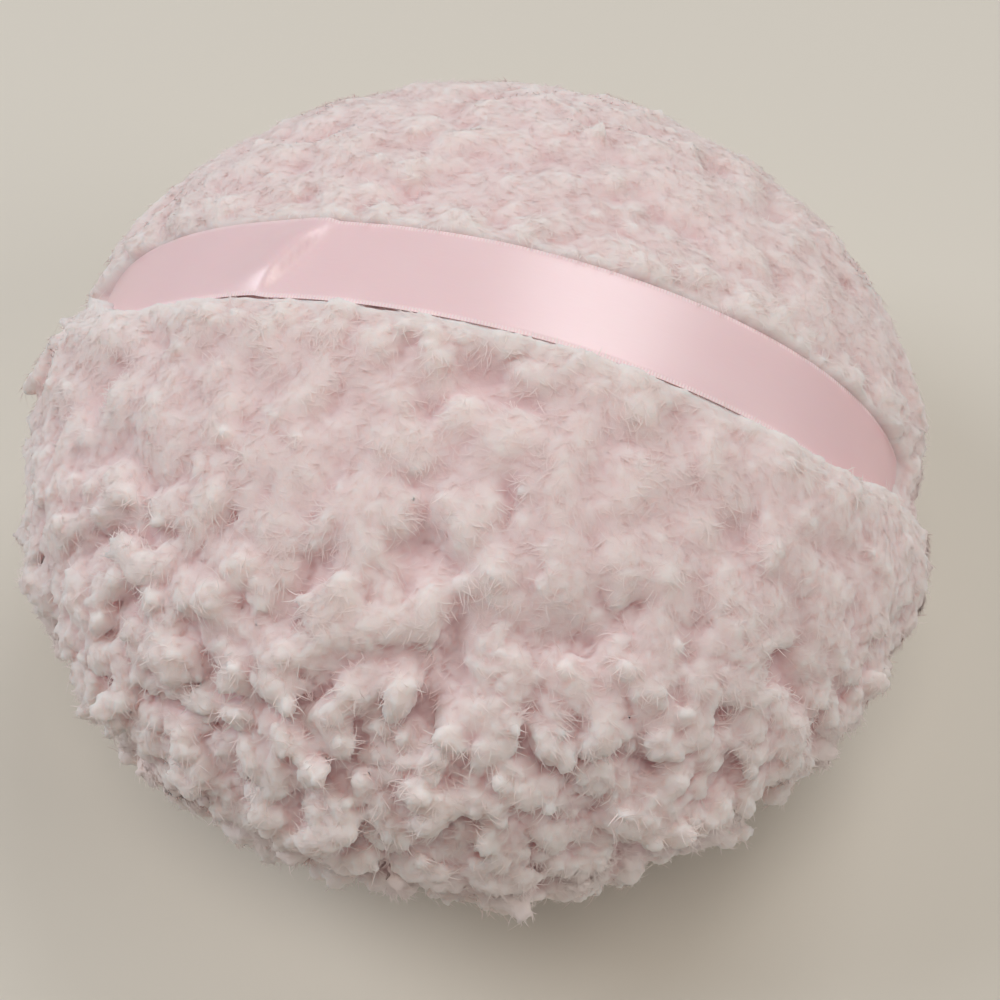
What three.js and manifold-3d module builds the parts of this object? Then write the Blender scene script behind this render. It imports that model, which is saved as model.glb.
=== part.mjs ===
// A round body powder puff, in millimetres, +Z up, standing on the middle of its underside at the origin.
// Two fleece covers are sewn together round the edge and filled with fibre. A satin ribbon runs over
// the crown along X, and its two ends are caught in the edge seam.
// Each cover is a knitted backing with a deep pile outside it. The pile clumps into lobes, which are
// deepest low at the front, and it is pressed down under the ribbon.

import * as THREE from "three";
import { mergeVertices } from "three/addons/utils/BufferGeometryUtils.js";
import Module from "manifold-3d";

// Body of the puff, measured from the plane of the edge seam.
const puffRadius = 79.5;
const crownHeight = 46.4;
const bellyDepth = 46.6;
const restFlatDepth = 0.5;
const roundnessExponent = 1.942;

// Covers.
const pileDepth = 10;
const knitThickness = 1.2;
const seamAllowance = 8;
const seatGap = 0.3;

// Ribbon strap and the bed that it presses into the pile.
const ribbonWidth = 16;
const ribbonThickness = 0.4;
const crownSink = 1.7;
const pressedPile = 2.3;
const bedShoulder = 5;
const notchDrop = 9;
const tailSetback = 0.5;

// Lobes of the pile. Their depth is full on the side that the aim points to, and least opposite it.
const lobeSpacing = 15;
const lobeDepth = 3;
const lobePackingShare = 1.15;
const lobeWanderShare = 0.22;
const lobeFootShare = 0.62;
const brushedDepthShare = 0.25;
const curlyAimShares = [0, -0.8, -0.65];

// Sewing.
const threadThickness = 0.6;
const seamLineInset = 2.4;
const machineStitch = 5.2;
const turningGap = 52;
const handStitch = 6.5;
const tackStitch = 2.9;
const tackSideMargin = 2.2;
const tackInset = 5.4;

// Counts of facets.
const bedSteps = 26;
const archSteps = 18;
const shoulderSteps = 2;
const flankSteps = 8;
const ribbonSteps = 22;
const areaSteps = 2000;

// Places that follow from the sizes above.
const seamHeight = bellyDepth - restFlatDepth;
const halfRibbon = ribbonThickness / 2;
const ribbonSpan = puffRadius - pileDepth + pressedPile;
const ribbonRise = crownHeight - crownSink;
const bedEdge = ribbonWidth / 2 + seatGap;
const flangeTop = seatGap / 2 + knitThickness;
const threadLevel = flangeTop + seatGap + threadThickness / 2;
const grooveHalfHeight = threadLevel + threadThickness / 2 + seatGap;

// Nested layers. A layer is half of a flattened ball: its radius at the seam, its height above and
// below the seam plane, and the lift of its rim off that plane.
const layerAt = (inset, rimLift) => ({
  radius: puffRadius - inset,
  up: crownHeight - inset,
  down: bellyDepth - inset,
  rimLift,
});
const pileRoots = layerAt(pileDepth, seatGap / 2);
const knitOutside = layerAt(pileDepth + seatGap, seatGap / 2);
const knitInside = layerAt(pileDepth + seatGap + knitThickness, flangeTop);
const fillSurface = layerAt(pileDepth + 2 * seatGap + knitThickness, grooveHalfHeight);
const rawEdgeRadius = knitOutside.radius - seamAllowance;
const seamLineRadius = knitOutside.radius - seamLineInset;

const wasm = await Module();
wasm.setup();

// Rows run across the ribbon, from the pole at -Y to the pole at +Y. They follow the edges of the
// ribbon's bed and its shoulders, and share out the flanks evenly. Each row is an angle.
function rowAngles() {
  const half = [0, Math.asin(bedEdge / puffRadius)];
  for (let i = 1; i <= shoulderSteps; i++)
    half.push(
      Math.asin((bedEdge + (bedShoulder * i) / shoulderSteps) / puffRadius),
    );
  const shoulderEnd = half.at(-1);
  for (let i = 1; i <= flankSteps; i++)
    half.push(shoulderEnd + ((Math.PI / 2 - shoulderEnd) * i) / flankSteps);
  const mirrored = half
    .slice(1)
    .reverse()
    .map((angle) => -angle);
  return [...mirrored, ...half];
}
const rows = rowAngles();

function smoothStep(from, to, value) {
  const t = Math.min(Math.max((value - from) / (to - from), 0), 1);
  return t * t * (3 - 2 * t);
}

// How much of the ribbon's pressure a point of the tips gets. It is full across the ribbon, fades over
// the shoulders, and dies out below the seam as a notch.
function pressureAt(point) {
  const across = 1 - smoothStep(bedEdge, bedEdge + bedShoulder, Math.abs(point.y));
  const below = 1 - smoothStep(0, notchDrop, -point.z);
  return across * below;
}

// Draws a point of the tips in towards the ellipse on which the ribbon lies.
function pressBed(point, pressure) {
  const bedSpan = ribbonSpan - halfRibbon - seatGap;
  const bedRise = point.z > 0 ? ribbonRise - halfRibbon - seatGap : bellyDepth;
  const reach = Math.hypot(point.x / bedSpan, point.z / bedRise);
  if (reach <= 1) return point;
  const pull = 1 + pressure * (1 / reach - 1);
  return point.set(point.x * pull, point.y, point.z * pull);
}

// The profile |rho / radius|^n + |z / height|^n = 1: the share of the height at a share of the radius,
// and the other way round.
function profileShare(share) {
  return (1 - Math.min(share, 1) ** roundnessExponent) ** (1 / roundnessExponent);
}

// One half of a layer as a grid of points. Columns go over from the +X rim to the -X rim.
function domeGrid(layer, side) {
  const height = side > 0 ? layer.up : layer.down;
  const rimRadius = layer.radius * profileShare(layer.rimLift / height);
  return rows.map((angle) => {
    const y = rimRadius * Math.sin(angle);
    const halfWidth = rimRadius * Math.cos(angle);
    return Array.from({ length: archSteps + 1 }, (_, column) => {
      const x = halfWidth * Math.cos((Math.PI * column) / archSteps);
      const z = height * profileShare(Math.hypot(x, y) / layer.radius);
      return new THREE.Vector3(x, y, side * z);
    });
  });
}

// The rim of a grid as one closed loop, anticlockwise from above.
function rimOf(grid) {
  const plusX = grid.map((row) => row[0]);
  const minusX = grid.map((row) => row.at(-1)).reverse();
  return [...plusX, ...minusX, plusX[0]];
}

// A loop with the plan shape of another, drawn in to a radius at a height.
function loopAt(loop, radius, height) {
  return loop.map((point) => {
    const plan = new THREE.Vector2(point.x, point.y).setLength(radius);
    return new THREE.Vector3(plan.x, plan.y, height);
  });
}

// Joins patches, each a grid of points that may be turned over, into one closed geometry.
function enclose(patches) {
  const corners = [];
  for (const { grid, turned } of patches)
    for (let i = 0; i + 1 < grid.length; i++)
      for (let j = 0; j + 1 < grid[i].length; j++) {
        const quad = [grid[i][j], grid[i][j + 1], grid[i + 1][j + 1], grid[i + 1][j]];
        if (turned) quad.reverse();
        const [a, b, c, d] = quad;
        corners.push(a, b, c, a, c, d);
      }
  return new THREE.BufferGeometry().setFromPoints(corners);
}

// A half cover: its outer dome, the loops that its edge follows inwards, and its inner dome.
function coverGeometry(outer, loops, inner, side) {
  const upper = side > 0;
  return enclose([
    { grid: outer, turned: upper },
    { grid: [rimOf(outer), ...loops, rimOf(inner)], turned: upper },
    { grid: inner, turned: !upper },
  ]);
}

// The ball of the pile's tips and the unit ball stand for each other: heading stays, and the shares of
// the radius and the height are the sizes on the unit ball raised to 2 / n.
function toUnitBall(point) {
  const height = point.z > 0 ? crownHeight : bellyDepth;
  const power = roundnessExponent / 2;
  const plan = new THREE.Vector2(point.x, point.y);
  plan.setLength((plan.length() / puffRadius) ** power);
  const level = Math.sign(point.z) * (Math.abs(point.z) / height) ** power;
  return new THREE.Vector3(plan.x, plan.y, level).normalize();
}

function fromUnitBall(unit) {
  const height = unit.z > 0 ? crownHeight : bellyDepth;
  const power = 2 / roundnessExponent;
  const plan = new THREE.Vector2(unit.x, unit.y);
  plan.setLength(puffRadius * plan.length() ** power);
  return new THREE.Vector3(plan.x, plan.y, Math.sign(unit.z) * height * Math.abs(unit.z) ** power);
}

// The area of the tips' ball below each of many rings, from the belly up to the crown.
function areasBelowRings() {
  const rings = Array.from({ length: areaSteps + 1 }, (_, i) => {
    const tilt = Math.PI * (i / areaSteps - 0.5);
    return fromUnitBall(new THREE.Vector3(Math.cos(tilt), 0, Math.sin(tilt)));
  });
  const areas = [0];
  for (let i = 1; i <= areaSteps; i++) {
    const slant = rings[i].distanceTo(rings[i - 1]);
    areas.push(areas.at(-1) + Math.PI * slant * (rings[i].x + rings[i - 1].x));
  }
  return areas;
}

// Middles of the lobes: spread evenly over the ball, each turned on by the golden angle, and moved a
// little from there so that they fall in no rows.
function lobeMiddles() {
  const areas = areasBelowRings();
  const whole = areas.at(-1);
  const count = Math.round((whole * lobePackingShare) / lobeSpacing ** 2);
  const goldenAngle = Math.PI * (3 - Math.sqrt(5));
  let ring = 0;
  return Array.from({ length: count }, (_, k) => {
    const wanted = (whole * (k + 0.5)) / count;
    while (areas[ring + 1] < wanted) ring++;
    const part = (wanted - areas[ring]) / (areas[ring + 1] - areas[ring]);
    const tilt = Math.PI * ((ring + part) / areaSteps - 0.5);
    const heading = k * goldenAngle;
    const even = new THREE.Vector3(
      Math.cos(tilt) * Math.cos(heading),
      Math.cos(tilt) * Math.sin(heading),
      Math.sin(tilt),
    );
    const wander = new THREE.Vector3(
      Math.sin(1.7 * k),
      Math.sin(2.9 * k + 1),
      Math.sin(4.3 * k + 2),
    );
    const moved = fromUnitBall(even).addScaledVector(wander, lobeSpacing * lobeWanderShare);
    return fromUnitBall(toUnitBall(moved));
  });
}
const middles = lobeMiddles();

// Puts a point of the tips' ball in its place: drawn in where lobes meet, then pressed by the ribbon.
// The lobes fade out under the ribbon and round the flat on which the puff stands.
function placeTip(point) {
  const nearest = Math.min(...middles.map((middle) => middle.distanceTo(point)));
  const cleft = Math.min((nearest / (lobeFootShare * lobeSpacing)) ** 2, 1);
  const aim = new THREE.Vector3(...curlyAimShares);
  const curly = smoothStep(-1, 1, aim.normalize().dot(toUnitBall(point)));
  const depthShare = THREE.MathUtils.lerp(brushedDepthShare, 1, curly);
  const pressure = pressureAt(point);
  const restRadius = puffRadius * profileShare(seamHeight / bellyDepth);
  const plan = Math.hypot(point.x, point.y);
  const rest = point.z < 0 ? smoothStep(restRadius, restRadius + lobeSpacing, plan) : 1;
  const dip = lobeDepth * cleft * depthShare * rest * (1 - pressure);
  return pressBed(point.setLength(point.length() - dip), pressure);
}

// Rows of points along the ribbon's bed and its shoulders, over the crown and down past the notch.
function bedPoints() {
  const bedRows = rows.filter(
    (angle) => puffRadius * Math.sin(Math.abs(angle)) < bedEdge + bedShoulder + seatGap,
  );
  const points = bedRows.flatMap((angle) =>
    Array.from({ length: 2 * bedSteps }, (_, column) => {
      const turn = (Math.PI * column) / bedSteps;
      const x = puffRadius * Math.cos(angle) * Math.cos(turn);
      const y = puffRadius * Math.sin(angle);
      const height = column <= bedSteps ? crownHeight : -bellyDepth;
      return new THREE.Vector3(x, y, height * profileShare(Math.hypot(x, y) / puffRadius));
    }),
  );
  return points.filter((point) => point.z > -notchDrop - bedShoulder);
}

function hullOf(points) {
  const { vertProperties, triVerts } = wasm.Manifold.hull(
    points.map((point) => toUnitBall(point).toArray()),
  ).getMesh();
  return { vertProperties, triVerts };
}

// The outside of the pile as one closed ball. The points are joined as their hull on the unit ball
// joins them, so each lobe is a low dome of facets round its middle, with corners where lobes meet.
function tipsSolid() {
  const corners = [];
  const { vertProperties, triVerts } = hullOf(middles);
  for (let i = 0; i < triVerts.length; i += 3) {
    const corner = new THREE.Vector3();
    for (const index of triVerts.slice(i, i + 3))
      corner.add(new THREE.Vector3().fromArray(vertProperties, 3 * index));
    corners.push(fromUnitBall(corner.normalize()));
  }
  const clearOfBed = (point) =>
    Math.abs(point.y) > bedEdge + bedShoulder + lobeSpacing / 4 ||
    point.z < -notchDrop - bedShoulder - lobeSpacing / 4;
  const free = [...middles, ...corners].filter(clearOfBed);
  const skin = hullOf([...bedPoints(), ...free]);
  const placed = new Float32Array(skin.vertProperties.length);
  for (let i = 0; i < placed.length; i += 3) {
    const unit = new THREE.Vector3().fromArray(skin.vertProperties, i);
    placeTip(fromUnitBall(unit)).toArray(placed, i);
  }
  return new wasm.Manifold(
    new wasm.Mesh({ numProp: 3, vertProperties: placed, triVerts: skin.triVerts }),
  );
}

// The pile of each cover: the tips' ball less the roots' ball, parted at the seam and cut flat where
// the puff stands.
function pileSolid(side) {
  const upper = domeGrid(pileRoots, 1);
  const lower = domeGrid(pileRoots, -1);
  const roots = enclose([
    { grid: upper, turned: true },
    { grid: [rimOf(upper), rimOf(lower)], turned: true },
    { grid: lower, turned: false },
  ]);
  return tipsSolid()
    .subtract(solidOf(roots))
    .trimByPlane([0, 0, side], seatGap / 2)
    .trimByPlane([0, 0, 1], -seamHeight);
}

// The backing's dome with its seam allowance turned in as a flat ring along the seam plane.
function knitGeometry(side) {
  const outside = domeGrid(knitOutside, side);
  const inside = domeGrid(knitInside, side);
  const rim = rimOf(outside);
  const rawEdge = [
    loopAt(rim, rawEdgeRadius, (side * seatGap) / 2),
    loopAt(rim, rawEdgeRadius, side * flangeTop),
  ];
  return coverGeometry(outside, rawEdge, inside, side);
}

// The filling meets both covers and has a groove round it for the seam allowances and the stitches.
function fillingGeometry() {
  const upper = domeGrid(fillSurface, 1);
  const lower = domeGrid(fillSurface, -1);
  const grooveRadius = rawEdgeRadius - seatGap;
  const edge = [
    rimOf(upper),
    loopAt(rimOf(upper), grooveRadius, grooveHalfHeight),
    loopAt(rimOf(upper), grooveRadius, -grooveHalfHeight),
    rimOf(lower),
  ];
  return enclose([
    { grid: upper, turned: true },
    { grid: edge, turned: true },
    { grid: lower, turned: false },
  ]);
}

// The ribbon's edge-on outline: an arch over the crown that folds at the seam into two flat tails.
function ribbonGeometry() {
  const tailEnd = rawEdgeRadius + tailSetback;
  const outerSpan = ribbonSpan + halfRibbon;
  const innerSpan = ribbonSpan - halfRibbon;
  const innerRise = ribbonRise - halfRibbon;
  const foldAngle = Math.asin(halfRibbon / innerRise);
  const outline = new THREE.Shape()
    .moveTo(tailEnd, -halfRibbon)
    .lineTo(outerSpan, -halfRibbon)
    .lineTo(outerSpan, 0)
    .absellipse(0, 0, outerSpan, ribbonRise + halfRibbon, 0, Math.PI, false)
    .lineTo(-outerSpan, -halfRibbon)
    .lineTo(-tailEnd, -halfRibbon)
    .lineTo(-tailEnd, halfRibbon)
    .absellipse(0, 0, innerSpan, innerRise, Math.PI - foldAngle, foldAngle, true)
    .lineTo(tailEnd, halfRibbon);
  const settings = {
    depth: ribbonWidth,
    bevelEnabled: false,
    curveSegments: ribbonSteps,
  };
  return new THREE.ExtrudeGeometry(outline, settings)
    .rotateX(Math.PI / 2)
    .translate(0, ribbonWidth / 2, 0);
}

// Places along an arc of the seam line, in even stitches of about the wanted length.
function placesOnSeam(fromAngle, toAngle, stitch) {
  const length = (toAngle - fromAngle) * seamLineRadius;
  const count = Math.round(length / stitch);
  return Array.from({ length: count + 1 }, (_, i) => {
    const angle = fromAngle + ((toAngle - fromAngle) * i) / count;
    return new THREE.Vector2(seamLineRadius, 0).rotateAround(
      new THREE.Vector2(),
      angle,
    );
  });
}

// Places along a straight line across the ribbon's tail.
function placesOnTail(side) {
  const reach = ribbonWidth / 2 - tackSideMargin;
  const count = Math.round((2 * reach) / tackStitch);
  const x = side * (knitOutside.radius - tackInset);
  return Array.from(
    { length: count + 1 },
    (_, i) => new THREE.Vector2(x, reach * ((2 * i) / count - 1)),
  );
}

// The direction of a row of stitches at one of its places.
function headingAt(places, i) {
  const before = places[Math.max(i - 1, 0)];
  const after = places[Math.min(i + 1, places.length - 1)];
  return after.clone().sub(before).normalize();
}

// A running stitch: at each place the thread goes straight through the seam allowances, and between
// places it lies along their upper and lower faces in turn. The square thread is mitred at each turn.
function stitchGeometry(places) {
  const half = threadThickness / 2;
  const rise = new THREE.Vector3(0, 0, half);
  const sections = [];
  places.forEach((place, i) => {
    const heading = headingAt(places, i);
    const sideways = new THREE.Vector3(-heading.y, heading.x, 0).setLength(half);
    const comesIn = i % 2 ? -1 : 1;
    for (const level of [comesIn, -comesIn]) {
      const atStart = i === 0 && level === comesIn;
      const atEnd = i === places.length - 1 && level !== comesIn;
      const mitre = new THREE.Vector3(heading.x, heading.y, 0).setLength(comesIn * half);
      if (!atStart && !atEnd) mitre.add(rise);
      const centre = new THREE.Vector3(place.x, place.y, level * threadLevel);
      sections.push([
        centre.clone().add(sideways).add(mitre),
        centre.clone().add(sideways).sub(mitre),
        centre.clone().sub(sideways).sub(mitre),
        centre.clone().sub(sideways).add(mitre),
      ]);
    }
  });
  const [a, b, c, d] = sections[0];
  const [e, f, g, h] = sections.at(-1);
  return enclose([
    { grid: sections.map((section) => [...section, section[0]]), turned: true },
    { grid: [[a, b], [d, c]], turned: false },
    { grid: [[e, f], [h, g]], turned: true },
  ]);
}

// The square hole that a stitch's thread needs at one place.
function needleHole(places, i) {
  const width = threadThickness + 2 * seatGap;
  const heading = headingAt(places, i);
  return new THREE.BoxGeometry(width, width, 2 * grooveHalfHeight)
    .rotateZ(Math.atan2(heading.y, heading.x))
    .translate(places[i].x, places[i].y, 0);
}

// The pocket that lets a tail of the ribbon lie between the covers.
function tailPocket(side) {
  const from = rawEdgeRadius - seamAllowance;
  const to = ribbonSpan + pileDepth;
  const thickness = ribbonThickness + 2 * seatGap;
  return new THREE.BoxGeometry(to - from, 2 * bedEdge, thickness).translate(
    (side * (from + to)) / 2,
    0,
    0,
  );
}

// A closed geometry as a solid that can be cut.
function solidOf(geometry) {
  const bare = geometry.clone().deleteAttribute("normal").deleteAttribute("uv");
  const merged = mergeVertices(bare);
  const { array } = merged.index;
  const faces = [];
  for (let i = 0; i < array.length; i += 3) {
    const [a, b, c] = array.slice(i, i + 3);
    if (a !== b && b !== c && c !== a) faces.push(a, b, c);
  }
  const mesh = new wasm.Mesh({
    numProp: 3,
    vertProperties: merged.attributes.position.array,
    triVerts: new Uint32Array(faces),
  });
  return new wasm.Manifold(mesh);
}

function geometryOf(solid) {
  const { vertProperties, triVerts } = solid.getMesh();
  const geometry = new THREE.BufferGeometry();
  geometry.setAttribute("position", new THREE.BufferAttribute(vertProperties, 3));
  geometry.setIndex(new THREE.BufferAttribute(triVerts, 1));
  geometry.computeVertexNormals();
  return geometry;
}

function cut(solid, cutters) {
  return geometryOf(cutters.reduce((rest, cutter) => rest.subtract(solidOf(cutter)), solid));
}

// The machine seam runs from one side of the turning gap, which is at +Y, round to the other.
const gapHalfAngle = turningGap / 2 / seamLineRadius;
const handHalfAngle = gapHalfAngle - machineStitch / seamLineRadius;
const gapMiddle = Math.PI / 2;
const machinePlaces = placesOnSeam(
  gapMiddle + gapHalfAngle,
  gapMiddle + 2 * Math.PI - gapHalfAngle,
  machineStitch,
);
const handPlaces = placesOnSeam(
  gapMiddle - handHalfAngle,
  gapMiddle + handHalfAngle,
  handStitch,
);
const leftPlaces = placesOnTail(-1);
const rightPlaces = placesOnTail(1);

const stitchRows = [machinePlaces, handPlaces, leftPlaces, rightPlaces];
const needleHoles = stitchRows.flatMap((places) => places.map((_, i) => needleHole(places, i)));
const tailPockets = [tailPocket(-1), tailPocket(1)];

const pileFinish = { color: 0xe6d2cf, roughness: 0.95, metalness: 0 };
const knitFinish = { color: 0xe8d9d2, roughness: 0.9, metalness: 0 };
const fillFinish = { color: 0xf2efe8, roughness: 1, metalness: 0 };
const satinFinish = { color: 0xecb9bf, roughness: 0.35, metalness: 0 };
const threadFinish = { color: 0xe9c3c4, roughness: 0.6, metalness: 0 };

const puff = new THREE.Group();
puff.position.z = seamHeight;

function addPiece(name, geometry, finish) {
  const mesh = new THREE.Mesh(geometry, new THREE.MeshStandardMaterial(finish));
  mesh.name = name;
  puff.add(mesh);
}

addPiece("top_pile", cut(pileSolid(1), tailPockets), pileFinish);
addPiece("bottom_pile", cut(pileSolid(-1), tailPockets), pileFinish);
addPiece("top_knit", cut(solidOf(knitGeometry(1)), [...tailPockets, ...needleHoles]), knitFinish);
addPiece("bottom_knit", cut(solidOf(knitGeometry(-1)), [...tailPockets, ...needleHoles]), knitFinish);
addPiece("filling", geometryOf(solidOf(fillingGeometry())), fillFinish);
addPiece("strap_ribbon", cut(solidOf(ribbonGeometry()), needleHoles), satinFinish);
addPiece("edge_seam_thread", geometryOf(solidOf(stitchGeometry(machinePlaces))), threadFinish);
addPiece("closing_stitches", geometryOf(solidOf(stitchGeometry(handPlaces))), threadFinish);
addPiece("left_strap_tack", geometryOf(solidOf(stitchGeometry(leftPlaces))), threadFinish);
addPiece("right_strap_tack", geometryOf(solidOf(stitchGeometry(rightPlaces))), threadFinish);

const part = new THREE.Group();
part.add(puff);

export default part;
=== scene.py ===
# %% [markdown]
# # A body powder puff with a satin strap
# The puff is two covers of curly fleece, sewn together round the edge and filled with fibre, with a satin
# ribbon over the crown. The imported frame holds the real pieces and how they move, and this script gives
# them their looks. Everything is in metres. Each new piece is worked out from the frame's own boxes, so
# it stays where the solid that it replaces was.

import math

import bpy
import numpy as np
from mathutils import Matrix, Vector


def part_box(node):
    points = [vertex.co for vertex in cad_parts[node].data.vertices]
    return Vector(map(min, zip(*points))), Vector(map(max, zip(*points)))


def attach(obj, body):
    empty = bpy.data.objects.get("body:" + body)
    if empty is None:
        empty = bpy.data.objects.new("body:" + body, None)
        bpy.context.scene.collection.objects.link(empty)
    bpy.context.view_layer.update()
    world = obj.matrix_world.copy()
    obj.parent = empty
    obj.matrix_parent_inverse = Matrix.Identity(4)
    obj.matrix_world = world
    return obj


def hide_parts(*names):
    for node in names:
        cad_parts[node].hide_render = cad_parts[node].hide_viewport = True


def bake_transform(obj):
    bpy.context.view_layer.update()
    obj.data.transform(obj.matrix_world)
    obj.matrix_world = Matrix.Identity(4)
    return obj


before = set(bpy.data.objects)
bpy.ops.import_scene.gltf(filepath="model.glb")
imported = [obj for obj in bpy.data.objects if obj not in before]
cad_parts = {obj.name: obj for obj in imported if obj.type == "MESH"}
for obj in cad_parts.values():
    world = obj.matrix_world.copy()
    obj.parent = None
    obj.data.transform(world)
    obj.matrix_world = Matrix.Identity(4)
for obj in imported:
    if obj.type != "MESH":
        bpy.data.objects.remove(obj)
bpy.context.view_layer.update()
MM = 0.001
print("nodes:", ", ".join(sorted(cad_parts)))

# %% [markdown]
# ## The sizes that everything follows
# The pile's tips lie on a flattened ball, |rho / radius|^n + |z / height|^n = 1, whose widest line is the
# seam. The ribbon's width and arch and the seam's height are read from the frame. The lobes and the ribbon
# hide the ball's own radius and heights there, so these are written as the solid's source has them.

# %% Sizes
RIBBON_LOW, RIBBON_HIGH = (np.array(corner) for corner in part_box("strap_ribbon"))
SEAM_Z = (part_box("top_pile")[0][2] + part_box("bottom_pile")[1][2]) / 2
PUFF_RADIUS = 79.5 * MM
CROWN_HEIGHT = 46.4 * MM
BELLY_DEPTH = 46.6 * MM
ROUNDNESS = 1.942
PILE_DEPTH = 10 * MM
RIBBON_THICKNESS = 0.4 * MM
RIBBON_WIDTH = RIBBON_HIGH[1] - RIBBON_LOW[1]
RIBBON_SPAN = RIBBON_HIGH[0] - RIBBON_THICKNESS / 2
RIBBON_RISE = RIBBON_HIGH[2] - RIBBON_THICKNESS / 2 - SEAM_Z
rng = np.random.default_rng(11)
print(f"seam at {SEAM_Z:.4f}, ribbon {RIBBON_WIDTH:.4f} wide, {RIBBON_RISE:.4f} above the seam")


# %% [markdown]
# ## Points on the flattened ball
# A point of the ball is found from an angle t, -90 degrees at the belly and 90 at the crown, or from a
# point of a unit ball, which makes heading and steepness easy to measure.
#
# Curls and lobes need places that are even but in no rows. The area below each angle is summed, cut into
# equal shares, and each share's place is turned on from the last by the golden angle, as seeds sit in a
# sunflower. Random places would leave bald spots, and a grid would show.


# %% Places on the ball
SLICES = 4000
PACKING = 1.15


def smooth_step(low, high, value):
    """0 below low, 1 above high, and 3t^2 - 2t^3 between."""
    t = np.clip((value - low) / (high - low), 0, 1)
    return t * t * (3 - 2 * t)


def length(vectors):
    """The length of each vector, as a column."""
    return np.linalg.norm(vectors, axis=1, keepdims=True)


def off_axis(points):
    """Each point's distance from the upright axis, never quite 0."""
    return np.maximum(np.hypot(points[:, 0], points[:, 1]), 1e-9)


def profile(t):
    """Radius and height at angle t: radius * cos(t)^(2/n) and height * sin(t)^(2/n)."""
    height = np.where(t > 0, CROWN_HEIGHT, BELLY_DEPTH)
    rho = PUFF_RADIUS * np.cos(t) ** (2 / ROUNDNESS)
    return rho, np.sign(t) * height * np.abs(np.sin(t)) ** (2 / ROUNDNESS)


def to_unit_ball(points):
    """The ball as a unit ball: shares of the radius and the height, raised to n / 2."""
    height = np.where(points[:, 2] > 0, CROWN_HEIGHT, BELLY_DEPTH)
    rho = off_axis(points)
    out = (rho / PUFF_RADIUS) ** (ROUNDNESS / 2) / rho
    level = np.sign(points[:, 2]) * np.abs(points[:, 2] / height) ** (ROUNDNESS / 2)
    ball = np.stack([points[:, 0] * out, points[:, 1] * out, level], 1)
    return ball / length(ball)


def from_unit_ball(ball):
    """The point that a point of the unit ball stands for: its shares raised to 2 / n."""
    height = np.where(ball[:, 2] > 0, CROWN_HEIGHT, BELLY_DEPTH)
    flat = off_axis(ball)
    out = PUFF_RADIUS * flat ** (2 / ROUNDNESS) / flat
    level = np.sign(ball[:, 2]) * height * np.abs(ball[:, 2]) ** (2 / ROUNDNESS)
    return np.stack([ball[:, 0] * out, ball[:, 1] * out, level], 1)


def outward(points):
    """Unit normal of the ball: the gradient of its equation."""
    height = np.where(points[:, 2] > 0, CROWN_HEIGHT, BELLY_DEPTH)
    rho = off_axis(points)
    flat = (rho / PUFF_RADIUS) ** (ROUNDNESS - 1) / PUFF_RADIUS / rho
    tall = np.sign(points[:, 2]) * np.abs(points[:, 2] / height) ** (ROUNDNESS - 1) / height
    normals = np.stack([points[:, 0] * flat, points[:, 1] * flat, tall], 1)
    return normals / length(normals)


def area_below():
    """Angles from belly to crown and the ball's area below each: ring lengths times slant heights."""
    t = np.linspace(-math.pi / 2, math.pi / 2, SLICES)
    rho, z = profile(t)
    slices = np.hypot(np.diff(rho), np.diff(z)) * (rho[1:] + rho[:-1]) * math.pi
    return t, np.concatenate([[0], np.cumsum(slices)])


def scatter(spacing):
    """Places about a spacing apart, even by area, each turned on by the golden angle."""
    t, area = area_below()
    count = round(area[-1] * PACKING / spacing**2)
    share = (np.arange(count) + 0.5) / count
    rho, z = profile(np.interp(share * area[-1], area, t))
    turn = np.arange(count) * math.pi * (3 - math.sqrt(5))
    return np.stack([rho * np.cos(turn), rho * np.sin(turn), z], 1)


print(f"area of the ball {area_below()[1][-1] * 1e4:.0f} square cm")


# %% [markdown]
# ## Meshes from whole arrays
# A mesh of 300,000 faces is quick to make when its points and faces are handed over as arrays. Smoothing
# needs the mean of each point's neighbours, and one count over the ends of all edges gives it.


# %% Mesh helpers
def make_object(name, points, faces):
    """A mesh object from an array of points and a list of arrays of faces with equal corner counts."""
    mesh = bpy.data.meshes.new(name)
    corners = np.concatenate([face.ravel() for face in faces]).astype(np.int32)
    totals = np.concatenate([np.full(len(face), face.shape[1]) for face in faces])
    starts = np.concatenate([[0], np.cumsum(totals)[:-1]])
    mesh.vertices.add(len(points))
    mesh.vertices.foreach_set("co", points.astype(np.float32).ravel())
    mesh.loops.add(len(corners))
    mesh.loops.foreach_set("vertex_index", corners)
    mesh.polygons.add(len(totals))
    mesh.polygons.foreach_set("loop_start", starts.astype(np.int32))
    mesh.polygons.foreach_set("use_smooth", np.ones(len(totals), bool))
    mesh.update(calc_edges=True)
    mesh.validate()
    made = bpy.data.objects.new(name, mesh)
    bpy.context.scene.collection.objects.link(made)
    return made


def read(items, key, width, kind):
    """One property of all vertices, edges, loops or faces as an array with so many columns."""
    flat = np.empty(len(items) * width, kind)
    items.foreach_get(key, flat)
    return flat.reshape(-1, width) if width > 1 else flat


def keep_values(mesh, label, values):
    """Stores one number for each point, which a material can read."""
    layer = mesh.attributes.new(label, "FLOAT", "POINT")
    layer.data.foreach_set("value", values.astype(np.float32).ravel())


def bake_map(mesh, spots):
    """Gives a mesh the map that an export bakes through, from a place for each point or face corner."""
    corners = read(mesh.loops, "vertex_index", 1, np.int32)
    layer = mesh.uv_layers.new(name="OFBake", do_init=False)
    uv = spots if len(spots) == len(corners) else spots[corners]
    layer.data.foreach_set("uv", uv.astype(np.float32).ravel())


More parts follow.
